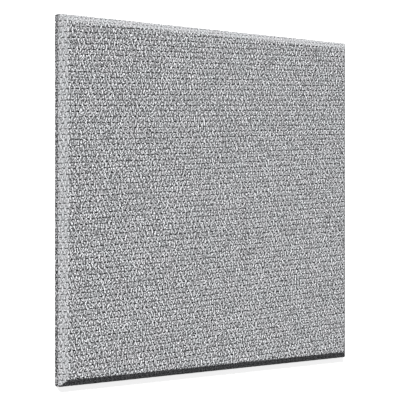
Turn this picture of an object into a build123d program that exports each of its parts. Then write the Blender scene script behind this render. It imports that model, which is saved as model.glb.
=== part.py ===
from build123d import *
import os

# A cloth-covered acoustic wall panel with bevelled front edges, in millimetres.
#
# A rigid board of resin-bonded glass fibre is cut with a bevel along each front edge.
# One sheet of woven cloth is pulled over its face, bevels and sides, turned onto the back and glued
# down there, with a mitre at each corner. The panel lies on its back: +Z points out of the face that
# the room sees, +X and +Y run along its width and height, and the origin is the middle of the
# back, level with the turned-over cloth.

# Finished size, over the cloth
panel_width = 609.6
panel_height = 609.6
side_return = 12.7          # the upright part of a side, from the back up to the bevel
bevel_drop = 12.7           # how far the bevel comes down from the face
bevel_run = 12.7            # how far the bevel reaches in across the face
corner_radius = 5.0         # the four upright corners, where the cloth is folded round the board

# Board
board_edge_radius = 1.0     # the cut edges are eased, so that they don't wear through the cloth

# Cloth
cloth_thickness = 1.2
hem_width = 45.0            # the strip of cloth on the back, measured in from the panel's side
mitre_gap = 0.8             # the open line between two hems that meet at a corner
corner_tuck = 5.0           # the cloth stays closed this far in from each side, where it is tucked

panel_thickness = side_return + bevel_drop
outer_edge_radius = board_edge_radius + cloth_thickness


def sharp_outline():
    """The finished panel before its edges are eased.

    It is a slab with four bevels on its front, whose mitred corners stay sharp, inside a slab
    with four rounded upright corners.
    """
    on_its_back = (Align.CENTER, Align.CENTER, Align.MIN)
    slab = Box(panel_width, panel_height, panel_thickness, align=on_its_back)
    face = slab.faces().sort_by(Axis.Z)[-1]
    bevelled = chamfer(face.edges(), length=bevel_run, length2=bevel_drop, reference=face)
    rounded = fillet(slab.edges().filter_by(Axis.Z), corner_radius)
    return bevelled & rounded


def rounded_layers():
    """The board, and the board with its cloth on, each with every edge rounded.

    Both grow out of one inner core by the radius that their edges have, so that the cloth is
    equally thick on the flats and round the edges.
    """
    inner_core = offset(sharp_outline(), amount=-outer_edge_radius, kind=Kind.INTERSECTION)
    board = offset(inner_core, amount=board_edge_radius, kind=Kind.ARC)
    covered_board = offset(inner_core, amount=outer_edge_radius, kind=Kind.ARC)
    return board, covered_board


def back_opening():
    """The field in the middle of the back that the hems leave bare."""
    return Box(
        panel_width - 2 * hem_width,
        panel_height - 2 * hem_width,
        2 * cloth_thickness,
    )


def mitre_cuts():
    """One cut along the diagonal of each back corner, where two hems meet.

    Each runs out into the bare field, past the point where the two hems' edges would cross.
    """
    cut_end = hem_width + mitre_gap
    run = cut_end - corner_tuck
    middle = (cut_end + corner_tuck) / 2
    cuts = []
    for side_x in (-1, 1):
        for side_y in (-1, 1):
            place = Location(
                (
                    side_x * (panel_width / 2 - middle),
                    side_y * (panel_height / 2 - middle),
                    0,
                ),
                (0, 0, 45 * side_x * side_y),
            )
            cuts.append(place * Box(run * 2**0.5, mitre_gap, 2 * cloth_thickness))
    return cuts


def make_panel():
    """The board and its cloth, by the name of each."""
    board, covered_board = rounded_layers()
    cloth = covered_board - board - back_opening() - mitre_cuts()
    return {"core_board": board, "fabric_wrap": cloth}


os.makedirs("parts", exist_ok=True)
for name, piece in make_panel().items():
    export_step(piece, f"parts/{name}.step")
    size = piece.bounding_box().size
    litres = piece.volume / 1e6
    print(f"{name}: {size.X:.1f} x {size.Y:.1f} x {size.Z:.1f} mm, {litres:.3f} litres")
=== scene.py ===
# %% [markdown]
# # A cloth-covered acoustic wall panel
# The real object is a rigid board of glass fibre, one inch thick, with its front edges planed to a
# bevel. A coarse grey cloth is pulled over its face and turned onto its back.
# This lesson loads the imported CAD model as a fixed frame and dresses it: the board keeps its solid and
# gets a better finish, and the cloth is cut flat, folded round the board and woven in detail.

import math

import bmesh
import bpy
import numpy as np
from mathutils import Matrix, Vector


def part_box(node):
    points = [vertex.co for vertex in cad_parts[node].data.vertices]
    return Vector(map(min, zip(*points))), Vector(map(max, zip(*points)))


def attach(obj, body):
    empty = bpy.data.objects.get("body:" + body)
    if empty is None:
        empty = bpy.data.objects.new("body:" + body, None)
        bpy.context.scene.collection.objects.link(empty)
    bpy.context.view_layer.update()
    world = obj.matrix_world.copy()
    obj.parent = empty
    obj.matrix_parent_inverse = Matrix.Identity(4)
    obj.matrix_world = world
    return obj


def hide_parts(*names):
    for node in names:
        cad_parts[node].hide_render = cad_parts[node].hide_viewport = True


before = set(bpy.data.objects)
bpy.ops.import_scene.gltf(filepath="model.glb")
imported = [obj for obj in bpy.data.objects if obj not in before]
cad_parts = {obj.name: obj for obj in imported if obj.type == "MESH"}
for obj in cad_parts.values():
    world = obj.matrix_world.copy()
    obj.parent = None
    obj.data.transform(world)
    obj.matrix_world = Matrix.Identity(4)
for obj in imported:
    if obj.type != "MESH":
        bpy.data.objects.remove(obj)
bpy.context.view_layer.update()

# %% The panel's own measures, in metres
MM = 0.001
low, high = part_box("fabric_wrap")
half_panel = (high.x - low.x) / 2
thickness = high.z - low.z
bevel = 12.7 * MM           # how far a bevel reaches across the face, and as far down
side = thickness - bevel    # the upright part of a side
hem = 45 * MM               # the cloth that is turned onto the back
half_mitre_gap = 0.4 * MM   # half of the open line between two hems
edge_radius = 1.5 * MM      # the outside of the cloth, where it turns an edge
corner_radius = 3 * MM      # the same round the four upright corners
half_face = half_panel - bevel
bevel_slope = bevel * math.sqrt(2)
cut_reach = bevel_slope + side + hem
print(f"panel {2 * half_panel:.4f} m wide, {thickness:.4f} m thick")
print(f"the cloth reaches {cut_reach:.4f} m past the face")

# %% [markdown]
# ## Camera
# The photograph looks at the face from its left, level with its middle. Two vanishing lines, the top and
# the bottom of the panel, give the turn, and the lengths of the two uprights give the distance.
# A camera could be aimed with a Track To constraint. A written matrix is used, because it keeps the
# panel's upright edges exactly upright in the picture.

# %% The photograph's camera
turn = math.radians(32.69)
right = (math.cos(turn), 0, math.sin(turn))
up = (0, 1, 0)
back = (-math.sin(turn), 0, math.cos(turn))
stand = (-1.03363, 0, 1.57650)
camera_data = bpy.data.cameras.new("photo_camera")
camera_data.sensor_width = 36
camera_data.lens = 94.4
camera_data.shift_y = 0.0005
camera = bpy.data.objects.new("photo_camera", camera_data)
camera.matrix_world = Matrix([*zip(right, up, back, stand), (0, 0, 0, 1)])
bpy.context.scene.collection.objects.link(camera)
bpy.context.scene.camera = camera
bpy.context.scene.view_settings.view_transform = "Standard"
print("camera", [round(x, 3) for x in stand], f"{math.degrees(camera_data.angle):.1f} degrees wide")


# %% [markdown]
# ## Small helpers
# A node tree drawn by hand is a page of boxes. In code, a few helpers keep it readable: each one adds a
# node, fills or links its inputs and hands back its output. Two more helpers read and write a value for
# every point, corner or face of a mesh at once.

# %% Node helpers
def feed(tree, socket, value):
    """Fills a socket with a number or a colour, or links another node's output to it."""
    if isinstance(value, bpy.types.NodeSocket):
        tree.links.new(value, socket)
    else:
        socket.default_value = value


def calc(tree, operation, *values):
    """A Math node."""
    node = tree.nodes.new("ShaderNodeMath")
    node.operation = operation
    for socket, value in zip(node.inputs, values):
        feed(tree, socket, value)
    return node.outputs[0]


def combine(tree, operation, *vectors):
    """A Vector Math node. A plain number stands for a vector of three like numbers."""
    node = tree.nodes.new("ShaderNodeVectorMath")
    node.operation = operation
    for socket, value in zip(node.inputs, vectors):
        feed(tree, socket, (value,) * 3 if isinstance(value, float) else value)
    return node.outputs[0]


def place(tree, x, y, z=0.0):
    """A Combine XYZ node."""
    node = tree.nodes.new("ShaderNodeCombineXYZ")
    for socket, value in zip(node.inputs, (x, y, z)):
        feed(tree, socket, value)
    return node.outputs[0]


def parts(tree, vector):
    """A Separate XYZ node: the three numbers of a vector."""
    node = tree.nodes.new("ShaderNodeSeparateXYZ")
    feed(tree, node.inputs[0], vector)
    return node.outputs


def blend_colours(tree, share, first, second, how="MIX"):
    """A Mix node for colours."""
    node = tree.nodes.new("ShaderNodeMix")
    node.data_type = "RGBA"
    node.blend_type = how
    feed(tree, node.inputs["Factor"], share)
    feed(tree, node.inputs["A"], first)
    feed(tree, node.inputs["B"], second)
    return node.outputs["Result"]


def tint(tree, colour, other):
    """One colour multiplied by another."""
    return blend_colours(tree, 1.0, colour, other, "MULTIPLY")


def ramp(tree, value, stops, interpolation="LINEAR"):
    """A Color Ramp node, from a list of (position, colour)."""
    node = tree.nodes.new("ShaderNodeValToRGB")
    node.color_ramp.interpolation = interpolation
    elements = node.color_ramp.elements
    while len(elements) < len(stops):
        elements.new(1.0)
    # All the positions come first, in case a new position puts the elements in a new order
    for element, (position, colour) in zip(elements, stops):
        element.position = position
    for element, (position, colour) in zip(elements, stops):
        element.color = (*colour, 1)
    feed(tree, node.inputs["Fac"], value)
    return node.outputs["Color"]


def grey(level):
    """A neutral colour."""
    return (level, level, level)


def chance(tree, where, output="Value"):
    """A White Noise node: one random number, or with Color three, for each whole place."""
    node = tree.nodes.new("ShaderNodeTexWhiteNoise")
    node.noise_dimensions = "3D"
    feed(tree, node.inputs["Vector"], where)
    return node.outputs[output]


def cloudy(tree, where, scale, detail, roughness=0.5):
    """A Noise Texture node."""
    node = tree.nodes.new("ShaderNodeTexNoise")
    feed(tree, node.inputs["Vector"], where)
    feed(tree, node.inputs["Scale"], scale)
    feed(tree, node.inputs["Detail"], detail)
    feed(tree, node.inputs["Roughness"], roughness)
    return node.outputs["Fac"]


def bump(tree, height, strength, distance, on_top_of=None):
    """A Bump node, alone or on top of another normal."""
    node = tree.nodes.new("ShaderNodeBump")
    node.inputs["Strength"].default_value = strength
    node.inputs["Distance"].default_value = distance
    feed(tree, node.inputs["Height"], height)
    if on_top_of is not None:
        feed(tree, node.inputs["Normal"], on_top_of)
    return node.outputs[0]


def new_group(name, inputs, outputs):
    """An empty node group with its inputs and outputs: (name, kind) or (name, kind, value)."""
    tree = bpy.data.node_groups.new(name, "ShaderNodeTree")
    for label, kind, *value in inputs:
        socket = tree.interface.new_socket(label, in_out="INPUT", socket_type="NodeSocket" + kind)
        if value:
            socket.default_value = value[0]
    for label, kind in outputs:
        tree.interface.new_socket(label, in_out="OUTPUT", socket_type="NodeSocket" + kind)
    return tree, tree.nodes.new("NodeGroupInput").outputs, tree.nodes.new("NodeGroupOutput").inputs


def use_group(tree, group, **values):
    """Places a node group; an input named Strand_Map is filled by the name Strand Map."""
    node = tree.nodes.new("ShaderNodeGroup")
    node.node_tree = group
    for label, value in values.items():
        feed(tree, node.inputs[label.replace("_", " ")], value)
    return node.outputs


def new_material(name):
    """A material with an empty Principled surface."""
    material = bpy.data.materials.new(name)
    material.use_nodes = True
    tree = material.node_tree
    return material, tree, tree.nodes["Principled BSDF"]


# %% Mesh helpers
def read_values(items, what, width=1, number=np.float32):
    """A value of all the items of a mesh, as an array with width numbers to a row."""
    values = np.empty(len(items) * width, number)
    items.foreach_get(what, values)
    return values if width == 1 else values.reshape(-1, width)


def add_values(mesh, label, kind, domain, values):
    """A new attribute of a mesh, with a value for each of its points or faces."""
    what = "vector" if kind == "FLOAT_VECTOR" else "value"
    number = np.int32 if kind == "INT" else np.float32
    mesh.attributes.new(label, kind, domain).data.foreach_set(what, values.astype(number).ravel())


# %% [markdown]
# ## Floor
# The picture's ground is plain white. The floor is a pale sheet under the panel: where the light reaches
# it the camera sees white, and where the panel stands in the way its shadow stays. To everything else
# it is a duller floor, so that it doesn't throw light up onto the bevels that face away from the lamp.

# %% Floor
floor_radius = 9.0
floor_sides = 96
below_strands = 0.6 * MM    # the strands of the hem stand a little proud, and mustn't go through the floor
floor_mesh = bpy.data.meshes.new("floor")
floor_form = bmesh.new()
bmesh.ops.create_circle(floor_form, cap_ends=True, segments=floor_sides, radius=floor_radius)
floor_form.to_mesh(floor_mesh)
floor_form.free()
floor = bpy.data.objects.new("floor", floor_mesh)
floor.location.z = -below_strands
bpy.context.scene.collection.objects.link(floor)


def seen_directly(tree):
    """1 where the picture, a reflection or clear glass shows the surface, 0 where it only gives light."""
    path = tree.nodes.new("ShaderNodeLightPath").outputs
    either = calc(tree, "MAXIMUM", path["Is Camera Ray"], path["Is Glossy Ray"])
    return calc(tree, "MAXIMUM", either, path["Is Transmission Ray"])


floor_finish = bpy.data.materials.new("pale_floor")
floor_finish.use_nodes = True
tree = floor_finish.node_tree
tree.nodes.clear()
dull = tree.nodes.new("ShaderNodeBsdfDiffuse")
dull.inputs["Color"].default_value = (0.05, 0.05, 0.05, 1)
pale = tree.nodes.new("ShaderNodeBsdfDiffuse")
pale.inputs["Color"].default_value = (0.88, 0.88, 0.88, 1)
lift = tree.nodes.new("ShaderNodeEmission")
lift.inputs["Strength"].default_value = 0.8
both = tree.nodes.new("ShaderNodeAddShader")
tree.links.new(pale.outputs[0], both.inputs[0])
tree.links.new(lift.outputs[0], both.inputs[1])
choose = tree.nodes.new("ShaderNodeMixShader")
tree.links.new(seen_directly(tree), choose.inputs[0])
tree.links.new(dull.outputs[0], choose.inputs[1])
tree.links.new(both.outputs[0], choose.inputs[2])
tree.links.new(choose.outputs[0], tree.nodes.new("ShaderNodeOutputMaterial").inputs["Surface"])
floor_mesh.materials.append(floor_finish)
print("floor", floor_finish.name, f"{2 * floor_radius:.0f} m across")

# %% [markdown]
# ## Light
# In the photograph the bevel at the top is the brightest, the left one is next, and the bottom one is
# nearly black. So the lamp stands above and to the left, so low that the bottom bevel turns away from
# it, and a dim sky fills the rest.
# An area lamp would give an uneven face. A sun with a wide disc is used: it is soft and even.

# %% Lamp and sky
lamp_towards = Vector((-0.66, 1.05, 1.00)).normalized()
lamp_data = bpy.data.lights.new("lamp", "SUN")
lamp_data.energy = 5.4
lamp_data.angle = math.radians(14)  # the width of its disc, which softens its shadows
lamp = bpy.data.objects.new("lamp", lamp_data)
lamp.rotation_mode = "QUATERNION"
lamp.rotation_quaternion = lamp_towards.to_track_quat("Z", "Y")
lamp.location = 1.5 * lamp_towards  # a sun lights the same from any distance
bpy.context.scene.collection.objects.link(lamp)

world = bpy.data.worlds.new("studio")
bpy.context.scene.world = world
world.use_nodes = True
tree = world.node_tree
backdrop = tree.nodes["Background"]
dim_sky, white = (0.10, 0.10, 0.104, 1), (1, 1, 1, 1)
feed(tree, backdrop.inputs["Color"], blend_colours(tree, seen_directly(tree), dim_sky, white))
backdrop.inputs["Strength"].default_value = 1.0
print("lamp at", [round(x, 2) for x in lamp.location])

# %% [markdown]
# ## The weave's plan
# A weaver writes a cloth down as a draft: for each crossing, whether the upright yarn or the crosswise
# yarn lies on top. This cloth repeats every 8 upright strands and 4 crosswise yarns, and each repeat
# down the cloth is moved sideways by half. Four crossings in a row make the short dark dash that is
# the cloth's mark, and two single ones bind the uprights between the dashes.
# One table drives both the mesh, whose strands really dive, and the material, so that they agree.

# %% The draft
# x: the crosswise yarn is on top
draft = [
    "xxxx....",
    "........",
    "....x...",
    "......x.",
]
draft_width, draft_lines = len(draft[0]), len(draft)
marks = [mark == "x" for line in draft for mark in line]
# The way on the flat cloth from one strand to the next, and from one crosswise yarn to the next
strand_step = np.array([1.154625, 0.0580]) * MM
row_step = np.array([-0.068625, 2.3200]) * MM


def crosswise_on_top(strand, row):
    """For whole strand and row numbers, whether the crosswise yarn is on top. Rows count upwards."""
    down = np.mod(-row, 2 * draft_lines)
    column = np.mod(strand + draft_width // 2 * (down // draft_lines), draft_width)
    table = np.array(marks).reshape(draft_lines, draft_width)
    return table[down % draft_lines, column]


print("the crosswise yarn is on top at", sum(marks), "of", len(marks), "crossings")


# %% [markdown]
# ## Cutting the cloth
# The panel's maker lays the board face down on the cloth and cuts round it, with a notch at each corner.
# The cloth could be a plain sheet that a simulation shrinks onto the board, but it is stretched so
# tight that its shape is the board's. What matters is that it is woven along its own threads and cut
# across them. So a grid with one line to a strand is laid down slightly askew, as the cloth lies in the
# photograph, and then cut with bmesh's bisect_plane as with scissors.

# %% Smooth random numbers over the cloth
def ease(share):
    """A share from 0 to 1, made to start and end gently."""
    return share * share * (3 - 2 * share)


def patchy(seed, across, along, x, y):
    """Smooth random numbers from -1 to 1 over the plane, with bumps about across by along metres."""
    size = 64  # bumps each way before they repeat
    table = np.random.default_rng(seed).uniform(-1, 1, (size, size))
    u, v = x / across, y / along
    i, j = np.floor(u).astype(int), np.floor(v).astype(int)
    s, t = ease(u - i), ease(v - j)

    def number_at(a, b):
        return table[np.mod(i + a, size), np.mod(j + b, size)]

    near = number_at(0, 0) * (1 - s) + number_at(1, 0) * s
    far = number_at(0, 1) * (1 - s) + number_at(1, 1) * s
    return near * (1 - t) + far * t


# %% The woven grid, before it is cut
spare = 1.09                # the grid lies askew, so it is laid out larger than the cut cloth
wander = 0.45 * MM          # how far the strands and yarns stray from their straight lines
reach = half_face + cut_reach
columns = int(reach * spare / strand_step[0])
rows = int(reach * spare / (row_step[1] / 2))
strand_at = np.arange(-columns, columns + 1)
row_at = np.arange(-rows, rows + 1) / 2
strand, row = [a.ravel() for a in np.meshgrid(strand_at + 0.5, row_at)]
flat_x = strand * strand_step[0] + row * row_step[0]
flat_y = strand * strand_step[1] + row * row_step[1]
wander_x = wander * patchy(3, 0.009, 0.016, flat_x, flat_y)
wander_y = wander * patchy(4, 0.020, 0.008, flat_x, flat_y)
across = len(strand_at)
first = (np.arange(2 * rows)[:, None] * across + np.arange(across - 1)[None, :]).ravel()
quads = np.stack([first, first + 1, first + across + 1, first + across], axis=1)

cloth_mesh = bpy.data.meshes.new("whole_cloth")
grid_points = np.stack([flat_x + wander_x, flat_y + wander_y, 0 * flat_x], axis=1)
cloth_mesh.from_pydata(grid_points, [], quads)
add_values(cloth_mesh, "strand", "FLOAT", "POINT", strand)
add_values(cloth_mesh, "row", "FLOAT", "POINT", row)
print(f"grid of {across} strands by {2 * rows + 1} lines, {len(quads)} squares")


# %% The notches
def flap_edge(out):
    """How far a flap reaches sideways, at a distance out from the face's edge.

    It widens down the bevel, runs straight down the side, and narrows in a mitre on the back.
    """
    down = np.clip(out, 0, bevel_slope) / math.sqrt(2)
    over = np.clip(out - bevel_slope - side, 0, None)
    return half_face + down - over * (1 + half_mitre_gap * math.sqrt(2) / hem)


def is_waste(x, y):
    """Whether a point of the flat cloth is in a corner notch."""
    x, y = abs(x), abs(y)
    out, sideways = max(x, y) - half_face, min(x, y)
    return out > 0 and sideways > flap_edge(out)


# %% The scissors
hair = 1e-6                 # a point this near to a cut counts as lying on it
beside = 3 * MM             # a short cut goes only through the squares this near to it


def snip(form, start, end):
    """Cuts the faces beside a line from start to end, without taking anything away."""
    x_from, x_to = min(start[0], end[0]) - beside, max(start[0], end[0]) + beside
    y_from, y_to = min(start[1], end[1]) - beside, max(start[1], end[1]) + beside
    faces = []
    for face in form.faces:
        x, y, _ = face.calc_center_median()
        if x_from < x < x_to and y_from < y < y_to:
            faces.append(face)
    edges = {edge for face in faces for edge in face.edges}
    verts = {vert for face in faces for vert in face.verts}
    bmesh.ops.bisect_plane(
        form,
        geom=faces + list(edges) + list(verts),
        dist=hair,
        plane_co=(*start, 0),
        plane_no=(start[1] - end[1], end[0] - start[0], 0),
    )


form = bmesh.new()
form.from_mesh(cloth_mesh)
for x, y in ((1, 0), (-1, 0), (0, 1), (0, -1)):
    bmesh.ops.bisect_plane(
        form,
        geom=form.faces[:] + form.edges[:] + form.verts[:],
        dist=hair,
        plane_co=(x * reach, y * reach, 0),
        plane_no=(x, y, 0),
        clear_outer=True,
    )
turns = (0, bevel_slope, bevel_slope + side, cut_reach)
one_flap = [(half_face + out, float(flap_edge(out))) for out in turns]
next_flap = [(y, x) for x, y in one_flap]
for sx in (1, -1):
    for sy in (1, -1):
        for notch in (one_flap, next_flap):
            line = [(sx * x, sy * y) for x, y in notch]
            for start, end in zip(line, line[1:]):
                snip(form, start, end)
waste = [face for face in form.faces if is_waste(*face.calc_center_median().xy)]
bmesh.ops.delete(form, geom=waste, context="FACES")
cut_points = [vert for vert in form.verts if vert.is_boundary]
bmesh.ops.remove_doubles(form, verts=cut_points, dist=2 * hair)
form.to_mesh(cloth_mesh)
form.free()
flat_area = sum(p.area for p in cloth_mesh.polygons)
print(f"cut cloth: {len(cloth_mesh.polygons)} faces, {flat_area:.4f} m2 of {4 * reach * reach:.4f} m2")

# %% [markdown]
# ## Folding the cloth round the board
# Each flap goes down the bevel and the side and back under the board, so a point of the flat cloth is
# carried round by its distance from the face's edge. That gives the panel with sharp edges.
# Then the edges are softened. A Bevel modifier can't do that here, because these edges are only creases
# in a fine grid. Instead an inner core is made, smaller than the panel by the radius of its edges, and
# a Shrinkwrap modifier finds the nearest place on it for every point. A point that stands off that
# place by one even distance lies on a softly rounded panel. The cloth is pulled a little tighter round
# the edges than the CAD's plain sheet, because the photograph's corners are crisp.

# %% Carrying the flat cloth round the board
flat = read_values(cloth_mesh.vertices, "co", 3).astype(float)[:, :2]
strand = read_values(cloth_mesh.attributes["strand"].data, "value")
row = read_values(cloth_mesh.attributes["row"].data, "value")
count = len(flat)

out = np.abs(flat) - half_face
sideways_flap = out[:, 0] > out[:, 1]
beyond = out.max(axis=1)
along = np.where(sideways_flap, np.abs(flat[:, 1]), np.abs(flat[:, 0]))
down_bevel = np.clip(beyond, 0, bevel_slope) / math.sqrt(2)
down_side = np.clip(beyond - bevel_slope, 0, side)
under = np.clip(beyond - bevel_slope - side, 0, None)
stands_at = half_face + down_bevel - under
sharp = np.zeros((count, 3))
for axis, mine in ((0, sideways_flap), (1, ~sideways_flap)):
    sharp[:, axis] = np.where(mine & (beyond > 0), np.sign(flat[:, axis]) * stands_at, flat[:, axis])
sharp[:, 2] = thickness - down_bevel - down_side
print("sharp panel", sharp.min(axis=0).round(4), sharp.max(axis=0).round(4))

# %% The inner core
# On its bevels the height and the distance from the middle add up to slope_sum
post_steps = 25             # the points round a quarter of an upright corner
core_top = half_face - edge_radius * (math.sqrt(2) - 1)
slope_sum = half_panel + thickness - bevel - edge_radius * math.sqrt(2)
post_middle = half_panel - corner_radius
post_radius = corner_radius - edge_radius
core_form = bmesh.new()
for sx in (1, -1):
    for sy in (1, -1):
        core_form.verts.new((sx * core_top, sy * core_top, thickness - edge_radius))
        for t in np.linspace(0, math.pi / 2, post_steps):
            x = post_middle + post_radius * math.cos(t)
            y = post_middle + post_radius * math.sin(t)
            core_form.verts.new((sx * x, sy * y, edge_radius))
            core_form.verts.new((sx * x, sy * y, slope_sum - max(x, y)))
bmesh.ops.convex_hull(core_form, input=core_form.verts[:])
core_mesh = bpy.data.meshes.new("inner_core")
core_form.to_mesh(core_mesh)
core_form.free()
core = bpy.data.objects.new("inner_core", core_mesh)
bpy.context.scene.collection.objects.link(core)
print(f"inner core: {len(core_mesh.polygons)} faces")

# %% The nearest place on the core for every point
whole = bpy.data.objects.new("whole_cloth", cloth_mesh)
bpy.context.scene.collection.objects.link(whole)
cloth_mesh.vertices.foreach_set("co", sharp.astype(np.float32).ravel())
cloth_mesh.update()
wrap = whole.modifiers.new("to the core", "SHRINKWRAP")
wrap.target = core
wrap.wrap_method = "NEAREST_SURFACEPOINT"
wrap.wrap_mode = "ON_SURFACE"
bpy.context.view_layer.update()
wrapped = whole.evaluated_get(bpy.context.evaluated_depsgraph_get())
wrapped_mesh = wrapped.to_mesh()
nearest = read_values(wrapped_mesh.vertices, "co", 3).astype(float)
wrapped.to_mesh_clear()
whole.modifiers.clear()
outward = sharp - nearest
distance = np.linalg.norm(outward, axis=1)
outward /= distance[:, None]
print(f"sharp panel: {distance.min() / MM:.2f} to {distance.max() / MM:.2f} mm outside the core")

# %% [markdown]
# ## The strands' own relief
# Every point of the grid is the middle of a strand, either over a crosswise yarn or between two. Where
# the strand lies on top it stands at the cloth's full height, a little proud of the CAD's smooth sheet.
# Where it dives, the crosswise yarn lies open a little lower. The relief fades out along the seams, so
# that the flaps meet without a step, and near a cut edge the cloth is pressed down onto the board, as
# glue holds it.
# The maker pulls the cloth hardest over the bevels, which lays the yarns flat and even. On the upright
# sides it is looser and rougher than on the face, and at the back edge, where it turns sharply under,
# it bulges slightly.

# %% The measures of the relief
proud = 0.30 * MM           # the full height of the cloth, over the CAD's smooth sheet
dive_depth = 0.42 * MM      # how far a strand goes down under a crosswise yarn
slack_depth = 0.10 * MM     # how far it sinks between two crosswise yarns that it lies on
uneven_point = 0.05 * MM    # how far single points sink at random, on average
uneven_patch = 0.10 * MM    # how far small patches do
seam_fade = 1.6 * MM        # the relief is gone at a seam, and full this far from it
tension_fade = 1.0 * MM     # how far past an edge the cloth takes on the tension of its next part
bevel_flatness = 0.6        # the share of the relief that the tension over a bevel takes away
side_looseness = 2.0        # how loose the cloth is on the sides, where 1 is how taut it is on a bevel
glued_depth = 1.08 * MM     # how far a glued edge lies below the CAD's smooth sheet
glued_at_cut = 2.4 * MM     # the width of the glued edge along the end of a hem
glued_at_mitre = 1.8 * MM   # its width along a mitre
mitre_from = 3 * MM         # a mitre starts this far in from the back's edge
mitre_fade = 4 * MM         # and is fully pressed down this much further on
bulge_height = 0.5 * MM
bulge_above = 1.5 * MM      # the bulge's middle, over the panel's back
bulge_width = 2.4 * MM


def smooth_step(value, length):
    """0 up to a value of 0, 1 from a value of length on, and an eased rise between them."""
    return ease(np.clip(value / length, 0, 1))


# %% Height over the crossings
strand_number = np.floor(strand).astype(int)
in_middle = np.mod(np.floor(row * 2 + 0.25).astype(int), 2) == 1
row_number = np.floor(row + 0.25).astype(int)
dives_here = crosswise_on_top(strand_number, row_number)
dives_below = crosswise_on_top(strand_number, row_number - 1)
dive = np.where(in_middle, dives_here * 1.0, 0.5 * (1.0 * dives_here + dives_below))
lay = np.random.default_rng(11).uniform(-1, 1, count)
sink = dive_depth * dive + slack_depth * (~in_middle & (dive == 0)) + uneven_point * (1 + lay)
sink = sink + uneven_patch * (1 + patchy(5, 0.004, 0.015, flat[:, 0], flat[:, 1]))

# The distance to the nearest seam, or on the face to its corner
seam_bevel = (stands_at - along) * math.cos(math.atan(1 / math.sqrt(2)))
seam_back = (stands_at - along) / math.sqrt(2)
seam = np.where(beyond < bevel_slope, seam_bevel, np.where(under > 0, seam_back, stands_at - along))
face_corner = np.hypot(np.clip(-out[:, 0], 0, None), np.clip(-out[:, 1], 0, None))
seam = np.where(beyond > 0, seam, face_corner)
sink *= smooth_step(seam, seam_fade)

past_bevel = beyond - bevel_slope
on_bevel = smooth_step(beyond, tension_fade) - smooth_step(past_bevel, tension_fade)
on_side = smooth_step(past_bevel, tension_fade) - smooth_step(under, tension_fade)
sink *= 1 - bevel_flatness * on_bevel
# The material also paints light and shade by this: even tones on the bevels and starker ones on the sides.
taut = on_bevel - side_looseness * on_side

glued = 1 - smooth_step(cut_reach - beyond, glued_at_cut)
at_mitre = np.where(under > 0, 1 - smooth_step(seam_back, glued_at_mitre), 0.0)
glued = np.maximum(glued, smooth_step(under - mitre_from, mitre_fade) * at_mitre)
sink = np.maximum(sink, (glued_depth + proud) * glued)
final = nearest + outward * (edge_radius + proud - sink)[:, None]
bulge = bulge_height * np.exp(-(((past_bevel - side + bulge_above) / bulge_width) ** 2))
final[:, :2] += outward[:, :2] * bulge[:, None]
cloth_mesh.vertices.foreach_set("co", final.astype(np.float32).ravel())
cloth_mesh.update()
bpy.data.objects.remove(core)
print(f"relief from {sink.min() / MM:.2f} to {sink.max() / MM:.2f} mm below the cloth's full height")
print("folded cloth", final.min(axis=0).round(4), final.max(axis=0).round(4))

# %% [markdown]
# ## Maps on the cloth
# The material needs to know which strand and which crosswise yarn each point belongs to. A UV map is made
# for that: its two numbers count the strands and the crosswise yarns, and it follows the cloth over
# every edge, so the weave never breaks or slides.
# An attribute tells the material where the cloth is taut, and so where it paints light and shade on the
# bevels and the sides.

# %% The strand map
corner_point = read_values(cloth_mesh.loops, "vertex_index", 1, np.int32)
strand_map = cloth_mesh.uv_layers.new(name="Strands")
strand_and_row = np.stack([strand, row], axis=1)[corner_point]
strand_map.uv.foreach_set("vector", strand_and_row.astype(np.float32).ravel())
add_values(cloth_mesh, "taut", "FLOAT", "POINT", taut)
cloth_mesh.polygons.foreach_set("use_smooth", np.ones(len(cloth_mesh.polygons), bool))
cloth_mesh.update()
print("strands", int(strand.min()), "to", int(strand.max()), "yarns", int(row.min()), "to", int(row.max()))

# %% [markdown]
# ## Bands
# The cloth is one sheet, but as a single mesh it would be far too heavy for one piece. It is divided
# along its strands into five bands that lie edge to edge. Each keeps the whole cloth's own normals, so
# the light runs over the joins without a mark. Each also gets a second map, which spreads it evenly over
# a square, for baking the finish into an image.

# %% Dividing the cloth into bands
band_count = 5
just_past = 0.01            # a square that starts where two bands meet belongs to the second
bands_meet_at = np.round(np.linspace(strand.min() - 1, strand.max() + 1, band_count + 1)) + 0.5
first_strand = np.array([min(strand[v] for v in p.vertices) for p in cloth_mesh.polygons])
band_of_face = np.clip(np.searchsorted(bands_meet_at, first_strand + just_past) - 1, 0, band_count - 1)
whole_normals = np.array([tuple(n.vector) for n in cloth_mesh.vertex_normals])
add_values(cloth_mesh, "flat", "FLOAT_VECTOR", "POINT", np.c_[flat, np.zeros(count)])
add_values(cloth_mesh, "whole_normal", "FLOAT_VECTOR", "POINT", whole_normals)
add_values(cloth_mesh, "band", "INT", "FACE", band_of_face)


def cut_band(number):
    """A new mesh with one band's faces, with the whole cloth's normals, and its area when flat."""
    form = bmesh.new()
    form.from_mesh(cloth_mesh)
    layer = form.faces.layers.int["band"]
    bmesh.ops.delete(form, geom=[f for f in form.faces if f[layer] != number], context="FACES")
    flat_layer = form.verts.layers.float_vector["flat"]
    area = 0.0
    for face in form.faces:
        ends = [vert[flat_layer] for vert in face.verts]
        edges = zip(ends, ends[1:] + ends[:1])
        area += abs(sum(a.x * b.y - b.x * a.y for a, b in edges)) / 2
    mesh = bpy.data.meshes.new(f"cloth_band_{number + 1}")
    form.to_mesh(mesh)
    form.free()
    kept_normals = read_values(mesh.attributes["whole_normal"].data, "vector", 3)
    mesh.normals_split_custom_set_from_vertices(kept_normals)
    return mesh, area


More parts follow.
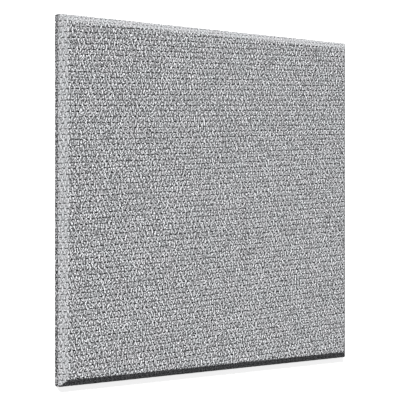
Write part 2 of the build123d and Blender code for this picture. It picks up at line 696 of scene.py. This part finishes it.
def spread_for_baking(mesh):
    """A second map: the band's two halves side by side, each evenly over its part of a square."""
    margin = 0.006  # kept clear all round each half
    across, along = read_values(mesh.uv_layers["Strands"].uv, "vector", 2).T.astype(float)
    size = read_values(mesh.polygons, "loop_total", 1, np.int32)
    face = np.repeat(np.arange(len(size)), size)
    middle = (np.bincount(face, along) / size)[face]
    upper = middle > 0
    u = (across - across.min()) / np.ptp(across)
    spread = np.zeros((len(face), 2))
    for half, offset in ((upper, 0.0), (~upper, 0.5)):
        v = along[half]
        spread[half, 0] = offset + margin + (0.5 - 2 * margin) * u[half]
        spread[half, 1] = margin + (1 - 2 * margin) * (v - v.min()) / np.ptp(v)
    layer = mesh.uv_layers.new(name="OFBake")
    layer.uv.foreach_set("vector", spread.astype(np.float32).ravel())


bands = []
for number in range(band_count):
    mesh, area = cut_band(number)
    spread_for_baking(mesh)
    band = bpy.data.objects.new(mesh.name, mesh)
    bpy.context.scene.collection.objects.link(band)
    band["strands"] = float(bands_meet_at[number + 1] - bands_meet_at[number])
    bands.append((band, area))
    triangles = sum(p.loop_total - 2 for p in mesh.polygons)
    print(f"{band.name}: {triangles} triangles, {area:.4f} m2 flat")
bpy.data.objects.remove(whole)

# %% [markdown]
# ## The weave in the material
# The mesh has one point to a strand, so what is finer comes from the material: the round of each strand,
# a painted shade in the gaps between them, and above all the tones. The yarns are a mix of pale, mid and
# dark grey.
# A float is the stretch of a yarn that lies on top, and no two floats have the same tone.
# An image of woven cloth would repeat and blur, and a Noise Texture alone would give clouds and not
# yarns. So a White Noise node draws three numbers for each float, counted out on the strand map. One
# sets its tone and two its lean, because each float also lies at its own slight slant to the light.
# Then a part of the neighbours' numbers is taken away. That makes a float unlike those round it, as in
# the photograph, where the grain is fine and the cloth even from afar.
# Here and there a crosswise yarn is thick. It parts the strands and shows between them, so that some
# dashes run together, and the parted strands are darkened: the dark yarn showing and a painted shade.
# Over the bevels the cloth's colour is painted a little darker and its dashes paler, painted shade and
# light, because that brings the render's bevels nearer to the photograph's. There the tones are also
# evened out, a painted light for the fewer shadows where the lamp falls squarely, and on the sides they
# are made starker, a painted shade.

# %% Group: three random numbers for each float of an upright strand
# Each use of White Noise has a number of its own among its inputs, so that no two draw alike
for_starts, for_floats, for_yarns = 7.0, 3.0, 5.0
one_float, given, gives = new_group(
    "one_float",
    [("Strand", "Float"), ("Row", "Float"), ("Step", "Float")],
    [("Numbers", "Vector")],
)
# A float is one row long, and the floats of each strand start at a height of their own
start_range = 9.0
start_share = chance(one_float, place(one_float, given["Strand"], for_starts))
starts_at = calc(one_float, "MULTIPLY", start_share, start_range)
floats_up = calc(one_float, "FLOOR", calc(one_float, "ADD", given["Row"], starts_at))
float_number = calc(one_float, "ADD", floats_up, given["Step"])
this_float = place(one_float, given["Strand"], float_number, for_floats)
feed(one_float, gives["Numbers"], chance(one_float, this_float, "Color"))
print("group", one_float.name, len(one_float.nodes), "nodes")

# %% Group: the weave, read from the draft and the strand map
half_row = 1.4              # half a row, where 1 is half of the crosswise yarn that lies in it
weave, given, gives = new_group(
    "grey_weave",
    [("Strand Map", "Vector")],
    [
        ("Crosswise", "Float"),
        ("Line", "Float"),
        ("Round", "Float"),
        ("Height", "Float"),
        ("Tone", "Float"),
        ("Parted", "Float"),
        ("Lean", "Vector"),
    ],
)
strand_place, row_place, _ = parts(weave, given["Strand Map"])
strand_whole = calc(weave, "FLOOR", strand_place)
row_whole = calc(weave, "FLOOR", row_place)
down = calc(weave, "FLOORED_MODULO", calc(weave, "MULTIPLY", row_whole, -1.0), 2.0 * draft_lines)
second_half = calc(weave, "GREATER_THAN", down, draft_lines - 0.5)
draft_line = calc(weave, "FLOORED_MODULO", down, draft_lines)
moved = calc(weave, "MULTIPLY_ADD", second_half, draft_width / 2, strand_whole)
column = calc(weave, "FLOORED_MODULO", moved, draft_width)
crossing = calc(weave, "MULTIPLY_ADD", draft_line, draft_width, column)
total = len(marks)
changes = [i for i in range(total) if i == 0 or marks[i] != marks[i - 1]]
lookup = calc(weave, "DIVIDE", calc(weave, "ADD", crossing, 0.5), total)
planned = ramp(weave, lookup, [(i / total, grey(float(marks[i]))) for i in changes], "CONSTANT")

strand_off = calc(weave, "MULTIPLY_ADD", calc(weave, "FRACT", strand_place), 2.0, -1.0)
row_off = calc(weave, "MULTIPLY_ADD", calc(weave, "FRACT", row_place), 2 * half_row, -half_row)
within_yarn = calc(weave, "LESS_THAN", calc(weave, "ABSOLUTE", row_off), 1.0)
crosswise = calc(weave, "MULTIPLY", planned, within_yarn)


def crown(tree, off, flatness):
    """A yarn's rounded top: 1 along its middle and 0 at its edges."""
    squared = calc(tree, "POWER", calc(tree, "ABSOLUTE", off), flatness)
    return calc(tree, "SQRT", calc(tree, "MAXIMUM", calc(tree, "SUBTRACT", 1.0, squared), 0.0))


yarn_share = 0.6            # of the height, for a yarn's own round; the rest is the lie of the upright
strand_round = crown(weave, strand_off, 2.5)
row_round = crown(weave, row_off, 3.0)
rounding = blend_colours(weave, crosswise, strand_round, row_round)
upright = calc(weave, "SUBTRACT", 1.0, crosswise)
lie = calc(weave, "MULTIPLY", upright, 1 - yarn_share)
height = calc(weave, "MULTIPLY_ADD", rounding, yarn_share, lie)
feed(weave, gives["Crosswise"], crosswise)
feed(weave, gives["Line"], draft_line)
feed(weave, gives["Round"], rounding)
feed(weave, gives["Height"], height)


# %% Tones and leans of the floats
def float_numbers(sideways, onward):
    """The numbers of the float here, or of one some strands sideways or some floats onward."""
    chosen = calc(weave, "ADD", strand_whole, sideways)
    return use_group(weave, one_float, Strand=chosen, Row=row_place, Step=onward)["Numbers"]


# How much is taken away of the floats that lie so many strands sideways and floats onward
taken_away = {(2, 0): 0.30, (0, 1): 0.15, (2, 1): 0.12, (2, -1): 0.12}
numbers = float_numbers(0.0, 0.0)
for (sideways, onward), share in taken_away.items():
    for way in (-1.0, 1.0):
        neighbour = float_numbers(way * sideways, way * onward)
        numbers = combine(weave, "MULTIPLY_ADD", neighbour, -share, numbers)
numbers = combine(weave, "SUBTRACT", numbers, 0.5 - sum(taken_away.values()))
tone_number, x_number, y_number = parts(weave, numbers)
tone_spread, tone_middle = 1.08, 0.535
strand_tone = calc(weave, "MULTIPLY_ADD", tone_number, tone_spread, tone_middle)
half_repeat = calc(weave, "FLOOR", calc(weave, "MULTIPLY", moved, 2 / draft_width))
cross_tone = chance(weave, place(weave, half_repeat, row_whole, for_yarns))
feed(weave, gives["Tone"], blend_colours(weave, crosswise, strand_tone, cross_tone))

# A dash leans down, out of the light, by 0.35 to 0.95
dash_line = calc(weave, "MULTIPLY", within_yarn, calc(weave, "LESS_THAN", draft_line, 0.5))
dash = calc(weave, "MULTIPLY", planned, dash_line)
dash_lean = calc(weave, "MULTIPLY", dash, calc(weave, "MULTIPLY_ADD", cross_tone, 0.6, -0.95))
lean_x = calc(weave, "MULTIPLY", x_number, upright)
lean_y = calc(weave, "MULTIPLY_ADD", y_number, upright, dash_lean)
feed(weave, gives["Lean"], place(weave, lean_x, lean_y))

# A yarn's thickness changes slowly along it, and each yarn takes its own way through the clouds
along_yarn = calc(weave, "MULTIPLY", strand_place, 0.14)
own_row = calc(weave, "MULTIPLY", row_whole, 3.7)
thickness_here = cloudy(weave, place(weave, along_yarn, own_row), 1.0, 1.0)
thick = ramp(weave, thickness_here, [(0.58, grey(0.0)), (0.68, grey(1.0))])
feed(weave, gives["Parted"], calc(weave, "MULTIPLY", thick, dash_line))
print("group", weave.name, len(weave.nodes), "nodes, draft in", len(changes), "ramp stops")

# %% Group: loose fibres, for the yarns and for the board
fibres, given, gives = new_group(
    "loose_fibres",
    [("Place", "Vector"), ("Scale", "Float", 400.0), ("Stretch", "Vector", (1.0, 1.0, 1.0))],
    [("Streak", "Float")],
)
stretched = combine(fibres, "MULTIPLY", given["Place"], given["Stretch"])
feed(fibres, gives["Streak"], cloudy(fibres, stretched, given["Scale"], 3.0, 0.6))
print("group", fibres.name, len(fibres.nodes), "nodes")

# %% Material: the grey cloth
bevel_slack = 0.4           # how much of their contrast the tones and leans keep on a taut bevel
usual_tone = 0.53           # the tone that the taut cloth keeps to
full_lean = 0.76            # how strongly the floats lean where the cloth isn't taut
cloth_finish, tree, surface = new_material("grey_woven_cloth")
strand_uv = tree.nodes.new("ShaderNodeUVMap")
strand_uv.uv_map = "Strands"
on_strands = strand_uv.outputs[0]
woven = use_group(tree, weave, Strand_Map=on_strands)
fuzz = use_group(tree, fibres, Place=on_strands, Scale=3.0, Stretch=(1.0, 0.35, 1.0))["Streak"]
taut_here = tree.nodes.new("ShaderNodeAttribute")
taut_here.attribute_name = "taut"
# Painted light and shade: the tones' contrast is cut on the bevels, where the lamp falls squarely and
# casts fewer shadows, and raised on the sides, where it stands for their deeper shadows.
slack_and_painted_light = calc(tree, "MULTIPLY_ADD", taut_here.outputs["Fac"], bevel_slack - 1, 1.0)
fuzzy = calc(tree, "MULTIPLY_ADD", fuzz, 0.5, -0.25)
off_usual = calc(tree, "SUBTRACT", calc(tree, "ADD", woven["Tone"], fuzzy), usual_tone)
tone = calc(tree, "MULTIPLY_ADD", off_usual, slack_and_painted_light, usual_tone)


def painted_bevel_light_and_shade(on_a_bevel, elsewhere):
    """A painted light and shade: one grey on a taut bevel, changing to another elsewhere."""
    return ramp(tree, slack_and_painted_light, [(bevel_slack, grey(on_a_bevel)), (1.0, grey(elsewhere))])


upright_colour = ramp(
    tree, tone,
    [(0.0, grey(0.10)), (0.3, grey(0.19)), (0.5, grey(0.46)), (0.7, grey(0.74)), (1.0, grey(0.88))],
)
line_greys = (0.01, 0.24, 0.06, 0.24)   # of the crosswise yarn in each line of the draft
line_colour = ramp(
    tree, calc(tree, "DIVIDE", calc(tree, "ADD", woven["Line"], 0.5), draft_lines),
    [(i / draft_lines, grey(level)) for i, level in enumerate(line_greys)],
    "CONSTANT",
)
cross_strength = ramp(tree, tone, [(0.0, grey(0.5)), (0.6, grey(1.0)), (1.0, grey(3.0))])
cross_colour = tint(tree, line_colour, cross_strength)
# Painted light: the dashes are made paler on the bevels, where the lamp casts fewer shadows into them.
cross_colour = blend_colours(tree, 1.0, cross_colour, painted_bevel_light_and_shade(0.08, 0.0), "ADD")
# Where a thick crosswise yarn parts the strands, they are darkened: the dark yarn showing between them,
# and a painted shade in the parting.
parting = ramp(tree, woven["Parted"], [(0.0, grey(1.0)), (1.0, grey(0.4))])
parted_colour = tint(tree, upright_colour, parting)
yarn_colour = blend_colours(tree, woven["Crosswise"], parted_colour, cross_colour)
# Painted shade: the colour is darkened in the gaps between the yarns, where shade falls.
gap_shade = ramp(tree, woven["Round"], [(0.0, grey(0.2)), (0.75, grey(1.0))])
# Painted shade: the cloth's colour is made a little darker on the bevels.
shaded = tint(tree, tint(tree, yarn_colour, gap_shade), painted_bevel_light_and_shade(0.93, 1.0))
spots = use_group(tree, fibres, Place=on_strands, Scale=0.03, Stretch=(1.0, 2.0, 1.0))["Streak"]
dye = ramp(tree, spots, [(0.35, (0.944, 0.968, 0.990)), (0.65, (0.970, 0.968, 0.992))])
feed(tree, surface.inputs["Base Color"], tint(tree, shaded, dye))
surface.inputs["Roughness"].default_value = 0.9
surface.inputs["Specular IOR Level"].default_value = 0.0

# %% The same cloth's normals: the lean of each float, and the round of each yarn
lean_strength = calc(tree, "MULTIPLY", slack_and_painted_light, full_lean)
strengths = place(tree, lean_strength, lean_strength)
leaning = tree.nodes.new("ShaderNodeNormalMap")
leaning.uv_map = "Strands"
lean_colour = combine(tree, "MULTIPLY_ADD", woven["Lean"], strengths, (0.5, 0.5, 1.0))
feed(tree, leaning.inputs["Color"], lean_colour)
fine_height = calc(tree, "MULTIPLY_ADD", fuzz, 0.25, woven["Height"])
round_yarns = bump(tree, fine_height, 0.6, 0.35 * MM, leaning.outputs[0])
feed(tree, surface.inputs["Normal"], round_yarns)
for band, area in bands:
    band.data.materials.append(cloth_finish)
print("finish", cloth_finish.name, len(tree.nodes), "nodes")

# %% [markdown]
# ## The board's finish
# On the back the board shows between the hems: yellow glass fibre, pressed into a mat and held by resin.
# It is a CAD solid and keeps its shape. Fibres lie in all directions, so two sets of streaks are crossed.

# %% Material: glass fibre
board_finish, tree, surface = new_material("yellow_glass_fibre")
spot = tree.nodes.new("ShaderNodeTexCoord").outputs["Object"]
one_way = use_group(tree, fibres, Place=spot, Scale=260.0, Stretch=(1.0, 0.12, 0.5))["Streak"]
other_way = use_group(tree, fibres, Place=spot, Scale=300.0, Stretch=(0.15, 1.0, 0.5))["Streak"]
mat = calc(tree, "MAXIMUM", one_way, other_way)
patch = cloudy(tree, spot, 14.0, 4.0, 0.6)
fibre_colour = ramp(
    tree, mat,
    [(0.35, (0.36, 0.26, 0.06)), (0.52, (0.66, 0.52, 0.17)), (0.68, (0.84, 0.74, 0.38))],
)
resin_colour = ramp(tree, patch, [(0.3, (0.80, 0.68, 0.42)), (0.7, (1.0, 0.98, 0.92))])
feed(tree, surface.inputs["Base Color"], tint(tree, fibre_colour, resin_colour))
feed(tree, surface.inputs["Roughness"], calc(tree, "MULTIPLY_ADD", mat, -0.3, 0.98))
feed(tree, surface.inputs["Normal"], bump(tree, mat, 0.8, 0.6 * MM))
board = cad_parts["core_board"]
board.data.materials.clear()
board.data.materials.append(board_finish)
print("finish", board_finish.name, len(tree.nodes), "nodes")

# %% Putting the cloth on the panel
for band, area in bands:
    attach(band, "root")
    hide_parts("fabric_wrap")
print(len(bands), "bands of cloth on the panel")
